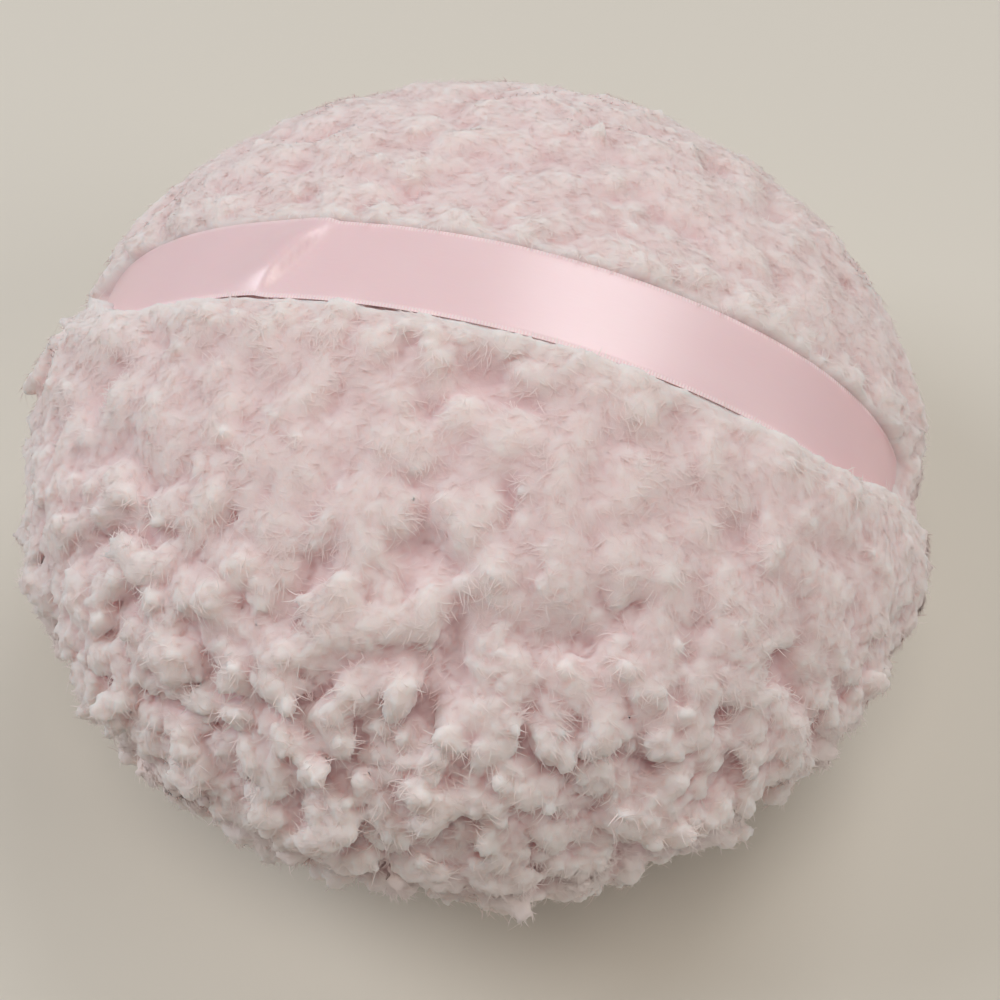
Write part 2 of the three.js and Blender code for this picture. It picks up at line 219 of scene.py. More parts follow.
def relax(values, edges, rounds, share):
    """Moves each point's values a share of the way to the mean of its neighbours, some rounds over."""
    size = len(values)
    count = np.maximum(np.bincount(edges.ravel(), minlength=size), 1)[:, None]
    one, two = edges.T
    for _ in range(rounds):
        sums = [np.bincount(one, v[two], size) + np.bincount(two, v[one], size) for v in values.T]
        values = values + share * (np.stack(sums, 1) / count - values)
    return values


def skin_normals(points, quads):
    """Unit normal at each point: the sum of its faces' normals, each the cross product of diagonals."""
    corners = points[quads]
    across = np.cross(corners[:, 2] - corners[:, 0], corners[:, 3] - corners[:, 1])
    spread = np.repeat(across, 4, axis=0)
    total = np.stack([np.bincount(quads.ravel(), part, len(points)) for part in spread.T], 1)
    return total / np.maximum(length(total), 1e-12)


print("mesh helpers ready")


# %% [markdown]
# ## Lobes, and where the pile is coarse
# Fleece clumps into lobes the size of a fingertip. The lobes here are those of the solid: the same even
# places, each moved by sines of its number, and the same dip where lobes meet, so the two shapes agree.
#
# The photo shows two kinds of pile. Low at the front it is coarse, with clefts between clumps of curls.
# Over the crown and the back it is brushed fine. One share, from 0 to 1 by direction, blends between them.

# %% Lobes
LOBE_SPACING = 15 * MM
LOBE_DEPTH = 3 * MM
LOBE_WANDER = 0.22
LOBE_FOOT = 0.62
BRUSHED_DEPTH = 0.25
LOBE_CLEFT = 2.6 * MM
FORWARDS, DOWN = 0.8, 0.65
CURLY_AIM = np.array([0, -FORWARDS, -DOWN]) / math.hypot(FORWARDS, DOWN)
COARSE_BIAS = 0.28
REST_RADIUS = 10.8 * MM


def lobe_middles():
    """The solid's lobes: even places, moved by sines of their numbers and put back on the ball."""
    even = scatter(LOBE_SPACING)
    wander = np.sin(np.arange(len(even))[:, None] * [1.7, 2.9, 4.3] + [0, 1, 2])
    return from_unit_ball(to_unit_ball(even + wander * LOBE_SPACING * LOBE_WANDER))


lobes = lobe_middles()


def lobe_dip(points):
    """How far the lobes draw the tips in, and how near a point is to the line where two lobes meet."""
    squares = np.sum(points**2, 1)[:, None] + np.sum(lobes**2, 1) - 2 * points @ lobes.T
    near = np.sqrt(np.maximum(np.partition(squares, 1, axis=1)[:, :2], 0))
    foot = np.minimum(near[:, 0] / (LOBE_FOOT * LOBE_SPACING), 1) ** 2
    curly = smooth_step(-1, 1, to_unit_ball(points) @ CURLY_AIM)
    rest = smooth_step(REST_RADIUS, REST_RADIUS + LOBE_SPACING, off_axis(points))
    rest = np.where(points[:, 2] < 0, rest, 1)
    depth = LOBE_DEPTH * foot * (BRUSHED_DEPTH + (1 - BRUSHED_DEPTH) * curly) * rest
    return depth, np.exp(-(((near[:, 1] - near[:, 0]) / LOBE_CLEFT) ** 2))


def coarse_share(points):
    """1 where the pile is coarse, towards -Y and below, and 0 where it is brushed fine."""
    share = points / np.array([PUFF_RADIUS, PUFF_RADIUS, CROWN_HEIGHT])
    return smooth_step(-0.1, 0.85, COARSE_BIAS - FORWARDS * share[:, 1] - DOWN * share[:, 2])


print(len(lobes), "lobes,", f"mean dip {lobe_dip(scatter(5 * MM))[0].mean() / MM:.2f} mm")

# %% [markdown]
# ## The ribbon's rise and the bed below it
# A ribbon under light tension is nearly a strip bent over an ellipse, and small lifts make it cloth: slow
# waves, and one slanting pucker left of the middle where it was twisted when it was sewn in. The lift is
# one formula, because the pile below needs it too.
#
# The bed is the ball drawn in to that ellipse. It has full depth under the ribbon, fades over a narrow
# shoulder in front and a wider one behind, and dies out below the seam. Close to the ribbon the pile
# keeps nearly its full height, so it stands up to the ribbon's edges as it does in the photo.

# %% Ribbon lift and bed
TIP_INSET = 1.2 * MM
CREASE_DEPTH = 0.8 * MM
CREASE_WIDTH = 2.5 * MM
BED_PROUD = 0.6 * MM
WAVE_LENGTH = 7 * MM
PUCKER_PLACE = -29 * MM
PUCKER_SLANT = 0.45
# The lifts and the pucker's width before and behind its ridge are in mm.
WAVE_LIFT = 0.05
PUCKER_LIFT = 1.8
PUCKER_BEFORE, PUCKER_BEHIND = 6.5, 1.5


def ribbon_lift(x, y, z):
    """How far the ribbon stands off its ellipse at a place: waves, a rolled front edge and a pucker."""
    share = np.clip(y / (RIBBON_WIDTH / 2), -1, 1)
    edge = WAVE_LIFT * np.maximum(-share, 0) ** 3
    waves = WAVE_LIFT + WAVE_LIFT * np.sin(x / WAVE_LENGTH + 0.8 * share)
    ridge = (x - PUCKER_PLACE - PUCKER_SLANT * y) / MM
    width = np.where(ridge < 0, PUCKER_BEFORE, PUCKER_BEHIND)
    tall = (0.3 + 0.7 * smooth_step(-1, -0.3, share)) * (1 - 0.6 * smooth_step(0.3, 1, share))
    pucker = PUCKER_LIFT * np.exp(-((ridge / width) ** 2)) * tall
    return (edge + waves + pucker) * smooth_step(14 * MM, 30 * MM, z) * MM


def draw_in(points, pull, clearance, side=1):
    """Draws points outside the ribbon's ellipse less a clearance, or inside for side -1, towards it."""
    span, rise = RIBBON_SPAN - clearance, RIBBON_RISE - clearance
    low = np.where(points[:, 2] > 0, rise, BELLY_DEPTH)
    reach = np.maximum(np.hypot(points[:, 0] / span, points[:, 2] / low), 1e-6)
    limit = 1 + ribbon_lift(points[:, 0], points[:, 1], points[:, 2]) / rise
    scale = 1 + pull * (side * (reach - limit) > 0) * (limit / reach - 1)
    return points * np.stack([scale, np.ones(len(points)), scale], 1)


def beside_ribbon(points):
    """1 under the ribbon and close to it, 0 from 9 mm off and from 12 mm below the seam."""
    off = np.abs(points[:, 1]) - RIBBON_WIDTH / 2
    return (1 - smooth_step(3 * MM, 9 * MM, off)) * smooth_step(-12 * MM, 0, points[:, 2])


def bedded(points):
    """Places on the ball moved to where the tips' surface is: the lobes' dips, a crease and the bed."""
    crease = CREASE_DEPTH * np.exp(-((points[:, 2] / CREASE_WIDTH) ** 2))
    inset = (TIP_INSET + lobe_dip(points)[0] + crease) * (1 - 0.9 * beside_ribbon(points))
    inside = points * (1 - inset[:, None] / length(points))
    ends = smooth_step(0.6, 0.95, np.abs(inside[:, 0]) / RIBBON_SPAN)
    behind = inside[:, 1] > 0
    shoulder = np.where(behind, 4 + 9 * ends, 2.5 - ends) * MM
    sides = 1 - smooth_step(-1 * MM, shoulder, np.abs(inside[:, 1]) - RIBBON_WIDTH / 2)
    sides *= np.where(behind, 1, 1 - 0.55 * ends)
    above = 0.6 * smooth_step(-4 * MM, 20 * MM, inside[:, 2])
    below = 0.4 * smooth_step(-12 * MM, 2 * MM, inside[:, 2])
    return draw_in(inside, sides * (above + below), -BED_PROUD)


crown = bedded(np.array([[0, 0, CROWN_HEIGHT]]))
print(f"bed at the crown {(CROWN_HEIGHT - crown[0, 2]) / MM:.2f} mm deep")

# %% [markdown]
# ## Curls
# A curl is one squashed ball that leans over with a few small, long ones on its outside. It leans the way
# the pile is combed: downhill and forwards, turned this way and that in swirls. Coarse curls are small
# and stand up, and fine ones are large, flat and sunk into each other, so they leave almost no relief.
#
# Strands would need millions of faces. Balls are enough, because the photo shows clumps of curls.

# %% Curls
TUFT_SPACING = 4.9 * MM
SWIRL_SIZE = 38 * MM
KNOBS = 8
# Half sizes in mm: sideways, thickness, length.
CURL_HALF = np.array([2.9, 2.3, 4.3])
KNOB_HALF = np.array([1.15, 0.85, 2.3])
tufts = scatter(TUFT_SPACING)


def combing(points, normals):
    """Unit direction in which the pile leans: the fall line, turned by an angle from two sine waves."""
    wave = 2 * math.pi / SWIRL_SIZE
    swing = 1.1 * np.sin(points @ [wave, 0.6 * wave, 0.8 * wave])
    swing += 0.9 * np.sin(points @ [-0.7 * wave, 1.3 * wave, 0.5 * wave] + 1.3)
    swing += rng.normal(0, 0.55, len(points))
    fall = np.tile([0.0, -0.6, -0.9], (len(points), 1))
    fall -= normals * np.sum(fall * normals, 1, keepdims=True)
    fall /= length(fall) + 1e-6
    turned = np.cross(normals, fall) * np.sin(swing)[:, None]
    return fall * np.cos(swing)[:, None] + turned


def unit(vectors):
    """Each vector at length 1."""
    return vectors / (length(vectors) + 1e-9)


def curls():
    """Centres, axes and half sizes of all balls: one body for each tuft and its knobs."""
    at = tufts[rng.random(len(tufts)) < 0.62 + 0.4 * coarse_share(tufts)]
    count = len(at)
    normal = outward(at)
    sideways = unit(np.cross(normal, [0.31, 0.17, 0.93]))
    jitter = rng.normal(0, TUFT_SPACING * 0.25, (count, 2))
    at = at + sideways * jitter[:, :1] + np.cross(normal, sideways) * jitter[:, 1:]
    coarse = coarse_share(at)[:, None]
    cleft = lobe_dip(at)[1][:, None]
    at = bedded(at)
    lift = (0.5 - 1.2 * cleft) * (0.3 + 0.7 * coarse) * MM
    lift += rng.normal(0, 0.12, (count, 1)) * (1 + 4 * coarse) * MM
    size = np.exp(rng.normal(0, 0.2, (count, 1))) * (1.5 - 0.72 * coarse)
    lean = combing(at, normal)
    rise = rng.uniform(0.05, 0.3, (count, 1)) + 0.35 * coarse
    axis = normal * np.sin(rise) + lean * np.cos(rise)
    flank = np.cross(normal, lean)
    thick = np.cross(flank, axis)
    axes = np.stack([flank, thick, axis], 1)
    body = CURL_HALF * MM * size
    reach = np.hypot(body[:, 1:2] * np.cos(rise), body[:, 2:] * np.sin(rise))
    middle = at + normal * (lift - reach)
    centres, frames, halves = [middle], [axes], [body]
    for _ in range(KNOBS):
        aim = unit(0.3 * axis + 0.8 * normal + rng.normal(0, 0.7, (count, 3)))
        offset = np.einsum("nij,nj,ni,nik->nk", axes, aim, body, axes)
        half = np.exp(rng.normal(0, 0.25, (count, 1))) * KNOB_HALF * MM
        sunk = rng.uniform(0.65, 1.0, (count, 1)) - 0.35 * coarse
        offset -= normal * half[:, 1:2] * sunk
        knob_axis = unit(axis + rng.normal(0, 0.45, (count, 3)))
        knob_flank = unit(np.cross(normal, knob_axis))
        knob_thick = np.cross(knob_flank, knob_axis)
        centres.append(middle + offset)
        frames.append(np.stack([knob_flank, knob_thick, knob_axis], 1))
        halves.append(half)
    return np.concatenate(centres), np.concatenate(frames), np.concatenate(halves)


curl_balls = curls()
print(len(curl_balls[0]), "balls in", len(curl_balls[0]) // (KNOBS + 1), "curls")

# %% [markdown]
# ## One skin round all the curls
# Every ball is a copy of one small ball, stretched along its own axes: one product of arrays places them
# all. Below them a core follows the same bedded surface a few millimetres deeper and stops gaps.
#
# A voxel remesh then makes one skin round everything. A boolean union of thousands of balls would be
# slow and fragile, and displacing a smooth ball couldn't give overhangs.

# %% Fused skin
VOXEL = 0.6 * MM
CORE_INSET = 3 * MM


def ball_grid(rings, spokes, outline):
    """Points on rings and at two poles, with quads between rings and triangles at the poles."""
    rho, z = outline(np.linspace(-math.pi / 2, math.pi / 2, rings + 2))
    turn = np.linspace(0, 2 * math.pi, spokes, endpoint=False)
    grid = [np.outer(rho, np.cos(turn)), np.outer(rho, np.sin(turn)), np.outer(z, np.ones(spokes))]
    points = np.concatenate([np.stack(grid, 2)[1:-1].reshape(-1, 3), [[0, 0, z[0]], [0, 0, z[-1]]]])
    step = np.arange(spokes)
    ahead = (step + 1) % spokes
    start = np.arange(rings - 1)[:, None] * spokes
    quads = np.stack([start + step, start + ahead, start + spokes + ahead, start + spokes + step], 2)
    last, south, north = (rings - 1) * spokes, rings * spokes, rings * spokes + 1
    below = np.stack([ahead, step, np.full(spokes, south)], 1)
    above = np.stack([last + step, last + ahead, np.full(spokes, north)], 1)
    return points, quads.reshape(-1, 4), np.concatenate([below, above])


def all_balls(centres, frames, halves):
    """Copies of a unit ball, each stretched along its own three axes and moved to its centre."""
    points, quads, fans = ball_grid(4, 8, lambda t: (np.cos(t), np.sin(t)))
    placed = np.einsum("kj,nj,nji->nki", points, halves, frames) + centres[:, None]
    shift = (np.arange(len(centres)) * len(points))[:, None, None]
    return placed.reshape(-1, 3), (quads + shift).reshape(-1, 4), (fans + shift).reshape(-1, 3)


def core():
    """A closed ball that follows the bedded tips at a depth."""
    points, quads, fans = ball_grid(119, 240, profile)
    shell = bedded(points)
    inset = CORE_INSET * (1 - 0.4 * beside_ribbon(shell))
    return shell * (1 - inset[:, None] / length(shell)), quads, fans


def fused_skin():
    """Points, quads and edges of the skin that a voxel remesh draws round the balls and the core."""
    ball_points, ball_quads, ball_fans = all_balls(*curl_balls)
    core_points, core_quads, core_fans = core()
    shift = len(ball_points)
    quads = np.concatenate([ball_quads, core_quads + shift])
    fans = np.concatenate([ball_fans, core_fans + shift])
    curly = make_object("curls", np.concatenate([ball_points, core_points]), [quads, fans])
    fuse = curly.modifiers.new("Fuse", "REMESH")
    fuse.mode = "VOXEL"
    fuse.voxel_size = VOXEL
    graph = bpy.context.evaluated_depsgraph_get()
    mesh = bpy.data.meshes.new_from_object(curly.evaluated_get(graph))
    points = read(mesh.vertices, "co", 3, np.float32).astype(float)
    quads = read(mesh.loops, "vertex_index", 1, np.int32).reshape(-1, 4)
    edges = read(mesh.edges, "vertices", 2, np.int32)
    bpy.data.meshes.remove(mesh)
    bpy.data.objects.remove(curly)
    return points, quads, edges


skin, skin_quads, skin_edges = fused_skin()
print("skin:", len(skin), "points,", len(skin_quads), "quads")


# %% [markdown]
# ## Brushing, small curls and pressing
# The skin is relaxed twice over, a little everywhere and much more where the pile is brushed fine. Then
# every point moves along its normal by the height of the small curls, in three sizes. Each is a dome
# round the nearest of points strewn one to a cube, with a crease where two points are equally near.
#
# Last, the skin is pressed below the ribbon's underside from edge to edge, and raised just beside it to
# keep the slot between them narrow. Near both ends it is left to stand over the ribbon's front edge, where
# the photo shows the pile covering it.

# %% Shape of the skin
CUSHION, SMALL_CURL, GRAIN = 6.5 * MM, 2.6 * MM, 1.25 * MM
COVERED_LEFT, COVERED_RIGHT = 9 * MM, 4 * MM
PRESSED_GAP = 0.28 * MM
RAISED_BY = 0.15 * MM
CUBES = 32
STREWN = rng.random((CUBES, CUBES, CUBES, 3))


def cells(points, size):
    """Distances from each point to the nearest and second nearest of points strewn one to a cube."""
    scaled = points / size
    home = np.floor(scaled).astype(int)
    first = np.full(len(points), 9.0)
    second = first.copy()
    for step in np.ndindex(3, 3, 3):
        cube = home + np.array(step) - 1
        seed = cube + STREWN[tuple((cube % CUBES).T)]
        gap = np.linalg.norm(seed - scaled, axis=1)
        second = np.minimum(second, np.maximum(first, gap))
        first = np.minimum(first, gap)
    return first, second


def relief_share(points):
    """How much of the relief stays after brushing: the coarse share, or some of it beside the ribbon."""
    return np.maximum(coarse_share(points), 0.45 * beside_ribbon(points))


def ruffle(points):
    """Height of the small curls. Sine waves bend the cubes first, so that no rows show."""
    bend = np.sin(points[:, [1, 2, 0]] * (2 * math.pi / (5 * MM))) * 0.8 * MM
    sway = np.sin(points[:, [2, 0, 1]] * (2 * math.pi / (13 * MM)) + 1) * 1.6 * MM
    patch = np.sin(points @ [310.0, 420.0, 370.0]) * np.sin(points @ [-390.0, 280.0, 330.0])
    near, next_near = cells(points + sway + 0.5 * bend, CUSHION)
    cushions = (smooth_step(0, 0.22, next_near - near) - 0.5 * near) * (0.55 + 0.45 * patch)
    first, second = cells(points + bend, SMALL_CURL)
    domes = 0.5 - first + 0.55 * smooth_step(0, 0.35, second - first)
    grains = 0.5 - cells(points * [1.0, 1.0, 1.3] - bend, GRAIN)[0]
    share = relief_share(points)
    cushions = (0.28 + 0.4 * share) * cushions
    return (cushions + (0.12 + 0.4 * share) * domes + (0.06 + 0.14 * share) * grains) * MM


def pressed_edge(points):
    """How far from its middle the ribbon shows: half its width, and less at the front of both ends."""
    ends = smooth_step(0.8, 0.97, np.abs(points[:, 0]) / RIBBON_SPAN)
    cover = np.where(points[:, 0] < 0, COVERED_LEFT, COVERED_RIGHT)
    return RIBBON_WIDTH / 2 - cover * ends * (points[:, 1] < 0)


def press(points):
    """Draws the skin below the ribbon where the ribbon shows, and raises it to the ribbon beside that."""
    off = np.abs(points[:, 1]) - pressed_edge(points)
    beyond = smooth_step(0, 0.6 * MM, off)
    high = smooth_step(6 * MM, 14 * MM, points[:, 2])
    points = draw_in(points, (1 - beyond) * high, PRESSED_GAP)
    return draw_in(points, beyond * (1 - smooth_step(1 * MM, 3 * MM, off)) * high, -RAISED_BY, -1)


def shaped_skin():
    """The skin brushed, ruffled, pressed and flattened where it rests on the table."""
    crisp = relax(skin, skin_edges, 2, 0.5)
    brushed = relax(crisp, skin_edges, 22, 0.7)
    share = relief_share(crisp)[:, None]
    points = brushed + (crisp - brushed) * (0.15 + 0.85 * share)
    points += skin_normals(points, skin_quads) * ruffle(points)[:, None]
    points = press(points)
    points[:, 2] = np.maximum(points[:, 2], -SEAM_Z)
    return points


shaped = shaped_skin()
print(f"skin moved by {length(shaped - skin).mean() / MM:.2f} mm on average")


# %% [markdown]
# ## What the paint and the light need to know
# Two numbers go with each point. Hollow is its height above the skin close round it, and valley is the
# height of that neighbourhood above a wider one. The paint turns hollows and valleys a deeper pink as
# painted shade.
#
# Light enters pile and comes out some millimetres away, which blurs its shading. So the normals that
# shade the skin are part its own and part blurred, the more blurred where the pile is fine.

# %% Relief and normals
distance = length(shaped)
near_level = relax(distance, skin_edges, 30, 0.9)
wide_level = relax(near_level, skin_edges, 120, 0.9)
hollow = (distance - near_level)[:, 0] / MM
valley = (near_level - wide_level)[:, 0] / MM
own = skin_normals(shaped, skin_quads)
blurred = relax(own, skin_edges, 14, 0.9)
crisp_share = 0.3 + 0.4 * relief_share(shaped)[:, None]
soft_normals = unit(own * crisp_share + blurred * (1 - crisp_share))
print(f"hollow {hollow.std():.2f} mm and valley {valley.std():.2f} mm, typically")

# %% [markdown]
# ## Two covers
# The puff has two covers, so the skin is parted where a smoothed height crosses the seam. Smoothing keeps
# the parting in one loop, where the true height would cut off bits of curls that hang over it.
#
# Each half is then closed from inside, with a dome at the depth of the pile's roots that has one column
# for each point of the rim. The two halves share their rim and its normals, so no crack shows.


# %% Covers
LINING_RINGS = 12
LINING_HOLLOW = -3.0


def hollow_out(points, quads, side):
    """Closes an open half skin: straight in from its rim to the roots, then a dome over them."""
    ahead = np.stack([quads, np.roll(quads, -1, 1)], 2).reshape(-1, 2)
    size = len(points)
    there = ahead[:, 0] * size + ahead[:, 1]
    back = ahead[:, 1] * size + ahead[:, 0]
    rim = ahead[~np.isin(there, back)]
    used, order = np.unique(rim, return_inverse=True)
    one, two = order.reshape(rim.shape).T
    height = (CROWN_HEIGHT if side > 0 else BELLY_DEPTH) - PILE_DEPTH
    t = np.linspace(0, math.pi / 2, LINING_RINGS + 1)[:-1]
    drawn_in = np.cos(t) ** (2 / ROUNDNESS)
    inwards = (PUFF_RADIUS - PILE_DEPTH) / np.hypot(points[used, 0], points[used, 1])
    root = points[used] * np.stack([inwards, inwards, np.ones(len(used))], 1)
    dome = root * np.stack([drawn_in, drawn_in, drawn_in**4], 1)[:, None]
    dome[:, :, 2] += side * height * np.sin(t)[:, None] ** (2 / ROUNDNESS)
    place = np.concatenate([used, size + np.arange(len(t) * len(used))]).reshape(-1, len(used))
    walls = [np.stack([low[two], low[one], high[one], high[two]], 1) for low, high in zip(place, place[1:])]
    pole = size + len(t) * len(used)
    fan = np.stack([place[-1][two], place[-1][one], np.full(len(rim), pole)], 1)
    lined = np.concatenate([points, dome.reshape(-1, 3), [[0, 0, side * height]]])
    return lined, np.concatenate([quads] + walls), fan, len(used)


def disc_map(points, corners, outer, side):
    """Map places: the outside as a disc of equal area, r = sqrt(1 - z), the lining small in a corner."""
    ball = to_unit_ball(points)
    flat = off_axis(ball)
    radius = np.sqrt(np.clip(1 - side * ball[:, 2], 0, 1.1)) / flat
    disc = ball[:, :2] * radius[:, None]
    lining = 0.925 + 0.066 * disc[corners[outer:]]
    return np.concatenate([0.5 + 0.47 * disc[corners[:outer]], lining])


def make_cover(name, node, side):
    """One cover's pile as a closed piece, with its relief, its normals and its map."""
    level = relax(shaped[:, 2:], skin_edges, 40, 0.9)[:, 0]
    half = skin_quads[side * level[skin_quads].mean(1) > 0]
    kept, order = np.unique(half, return_inverse=True)
    points, quads, fan, rim = hollow_out(shaped[kept], order.reshape(-1, 4), side)
    inner = len(points) - len(kept)
    cover = make_object(name, points + [0, 0, SEAM_Z], [quads, fan])
    for label, outside, lining in (
        ("hollow", hollow, LINING_HOLLOW),
        ("valley", valley, LINING_HOLLOW),
        ("seam", np.abs(level) / MM, 0),
    ):
        keep_values(cover.data, label, np.concatenate([outside[kept], np.full(inner, lining)]))
    corners = read(cover.data.loops, "vertex_index", 1, np.int32)
    bake_map(cover.data, disc_map(points, corners, 4 * len(half), side))
    normals = read(cover.data.vertex_normals, "vector", 3, np.float32)
    normals[: len(kept)] = soft_normals[kept]
    cover.data.normals_split_custom_set_from_vertices(normals.tolist())
    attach(cover, "puff")
    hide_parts(node)
    print(name, len(points), "points,", len(quads), "quads,", rim, "points on its rim")
    return cover, normals


top_cover, top_normals = make_cover("top_pile_fleece", "top_pile", 1)
bottom_cover, bottom_normals = make_cover("bottom_pile_fleece", "bottom_pile", -1)

# %% [markdown]
# ## Loose fibres
# Fine fibres lie on the pile and blur its edges. Each is a narrow strip of three faces that starts on the
# skin, leans the way the pile is combed and curves aside. Strips that stood up would shade as dark hairs,
# so these lie nearly flat, face outwards and take the skin's blurred normals.
#
# Places are drawn at random by area, from faces that look outwards and aren't in a hollow.

# %% Fibres
FIBRES = 38000
FIBRE_POINTS = 7
# Least and greatest length and half width in mm.
FIBRE_LENGTH = (1.3, 3.0)
FIBRE_HALF_WIDTH = (0.05, 0.1)


def make_fibres(name, cover, normals):
    """Short fibres on a cover: roots chosen by area, then all strips placed as one array."""
    mesh = cover.data
    mesh.calc_loop_triangles()
    corners = read(mesh.loop_triangles, "vertices", 3, np.int32)
    points = read(mesh.vertices, "co", 3, np.float32).astype(float)
    depth = read(mesh.attributes["hollow"].data, "value", 1, np.float32)
    first, second, third = points[corners.T]
    area = np.linalg.norm(np.cross(second - first, third - first), axis=1)
    ball = outward(first - [0, 0, SEAM_Z])
    area *= smooth_step(-0.2, 0.7, np.sum(normals[corners[:, 0]] * ball, 1))
    area *= (first[:, 2] > 0.6 * MM) & (depth[corners[:, 0]] > -0.3)
    beside = np.abs(first[:, 1]) > pressed_edge(first) + 1 * MM
    area *= beside | (first[:, 2] < SEAM_Z + 10 * MM)
    steps = np.cumsum(area)
    chosen = np.searchsorted(steps, rng.uniform(0, steps[-1], FIBRES))
    root = corners[chosen, 0]
    up = unit(normals[root] + 0.4 * ball[chosen])
    base = points[root] - up * 0.1 * MM
    lean = combing(base - [0, 0, SEAM_Z], up) + rng.normal(0, 0.45, base.shape)
    lean = unit(lean - up * np.sum(lean * up, 1, keepdims=True))
    flank = np.cross(up, lean)
    reach = rng.uniform(*FIBRE_LENGTH, (FIBRES, 1)) * MM
    stand = rng.uniform(0.15, 0.6, (FIBRES, 1))
    width = rng.uniform(*FIBRE_HALF_WIDTH, (FIBRES, 1)) * MM
    curl = rng.normal(0, 0.45, (FIBRES, 1))
    along = np.array([0, 0, 0.36, 0.36, 0.7, 0.7, 1])
    aside = np.array([-1, 1, -0.95, 0.95, -0.7, 0.7, 0])
    rise = (stand * along - 0.45 * stand * along**2)[:, :, None]
    bend = (curl * along**2)[:, :, None]
    line = along[:, None] * lean[:, None] + rise * up[:, None] + bend * flank[:, None]
    placed = base[:, None] + reach[:, None] * line + (width * aside)[:, :, None] * flank[:, None]
    placed[:, :, 2] = np.maximum(placed[:, :, 2], 0)
    start = np.arange(FIBRES)[:, None] * FIBRE_POINTS
    quads = np.concatenate([start + [0, 2, 3, 1], start + [2, 4, 5, 3]])
    fibres = make_object(name, placed.reshape(-1, 3), [quads, start + [4, 6, 5]])
    fibres.data.normals_split_custom_set_from_vertices(np.repeat(up, FIBRE_POINTS, axis=0).tolist())
    # Each fibre takes its root's hollow and valley, so the painted shade of the hollows colours it too.
    for label in ("hollow", "valley"):
        values = read(mesh.attributes[label].data, "value", 1, np.float32)
        keep_values(fibres.data, label, np.repeat(values[root], FIBRE_POINTS))
    side = math.ceil(math.sqrt(FIBRES))
    cell = np.stack([np.arange(FIBRES) % side, np.arange(FIBRES) // side], 1)
    shape = np.array([[0, 0], [1, 0], [0, 0.4], [1, 0.4], [0.1, 0.7], [0.9, 0.7], [0.5, 1]])
    bake_map(fibres.data, ((cell[:, None] + 0.1 + 0.8 * shape) / side).reshape(-1, 2))
    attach(fibres, "puff")
    print(name, "has", FIBRES, "fibres of", f"{reach.mean() / MM:.1f} mm")
    return fibres


top_fibres = make_fibres("top_pile_fibres", top_cover, top_normals)
bottom_fibres = make_fibres("bottom_pile_fibres", bottom_cover, bottom_normals)

# %% [markdown]
# ## The satin strap
# One length of ribbon lies along half an ellipse over the crown, turns in at the seam on each side and
# ends between the covers, where the tacks and the edge seam hold it. It is a closed strip: round each
# station along the path stand the points of a thin section.
#
# Cloth simulation would only pull it flat onto the curls. The lift formula gives it the waves and the
# pucker of the photo, the same on every run.

# %% Ribbon
STATION_STEP = 0.8 * MM
TAIL_LENGTH = 9.5 * MM
TURN_RADIUS = 0.8 * MM
SECTION_POINTS = 28


def strap_path():
    """Evenly spaced stations: place, outward normal and length so far, from right tail to left tail."""
    turn = np.linspace(0, math.pi / 2, 8)
    inner = RIBBON_SPAN - TURN_RADIUS
    bend = np.stack([inner + TURN_RADIUS * np.sin(turn), TURN_RADIUS * (1 - np.cos(turn))], 1)
    start = math.asin(TURN_RADIUS / RIBBON_RISE)
    t = np.linspace(start, math.pi - start, 900)
    arch = np.stack([RIBBON_SPAN * np.cos(t), RIBBON_RISE * np.sin(t)], 1)
    tail = np.array([[RIBBON_SPAN - TAIL_LENGTH, 0.0]])
    line = np.concatenate([tail, bend, arch[1:-1], bend[::-1] * [-1, 1], tail * [-1, 1]])
    steps = np.linalg.norm(np.diff(line, axis=0), axis=1)
    so_far = np.concatenate([[0], np.cumsum(steps)])
    along = np.linspace(0, so_far[-1], int(so_far[-1] / STATION_STEP))
    place = np.stack([np.interp(along, so_far, part) for part in line.T], 1)
    heading = unit(np.gradient(place, along, axis=0))
    return place, np.stack([heading[:, 1], -heading[:, 0]], 1), along


def make_ribbon():
    """The strap as one closed skin, with each point's place along and across it kept in mm."""
    place, normal, along = strap_path()
    across = -RIBBON_WIDTH / 2 * np.cos(np.linspace(0, math.pi, SECTION_POINTS))
    share = np.abs(across) / (RIBBON_WIDTH / 2)
    half = RIBBON_THICKNESS / 2 * np.sqrt(np.clip(1 - share**10, 0.02, 1))
    ring_across = np.concatenate([across, across[::-1]])
    ring_half = np.concatenate([half, -half[::-1]])
    lift = ribbon_lift(place[:, :1], ring_across[None], place[:, 1:]) + ring_half
    x = place[:, :1] + normal[:, :1] * lift
    z = place[:, 1:] + normal[:, 1:] * lift + SEAM_Z
    points = np.stack([x, np.broadcast_to(ring_across, lift.shape), z], 2)
    ring = len(ring_across)
    step = np.arange(ring)
    ahead = (step + 1) % ring
    start = np.arange(len(place) - 1)[:, None] * ring
    sides = np.stack([start + step, start + ring + step, start + ring + ahead, start + ahead], 2)
    low = np.arange(SECTION_POINTS - 1)
    first_cap = np.stack([low, low + 1, ring - 2 - low, ring - 1 - low], 1)
    last_cap = first_cap[:, ::-1] + (len(place) - 1) * ring
    faces = np.concatenate([sides.reshape(-1, 4), first_cap, last_cap])
    made = make_object("satin_strap", points.reshape(-1, 3), [faces])
    keep_values(made.data, "along", np.broadcast_to(along[:, None], lift.shape) / MM)
    keep_values(made.data, "across", np.broadcast_to(ring_across, lift.shape) / MM)
    return made, float(along[-1])


ribbon, ribbon_length = make_ribbon()
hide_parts("strap_ribbon")
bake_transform(ribbon)
print(f"ribbon {ribbon_length:.4f} long with its tails,", len(ribbon.data.polygons), "faces")


# %% [markdown]
# ## Shader maths as expressions
# A pattern is easier to read and to change as a sum than as a web of nodes. A Value wraps a socket, and
# each of Python's operators on it adds one Math node. Every other node comes from one method of Paint.


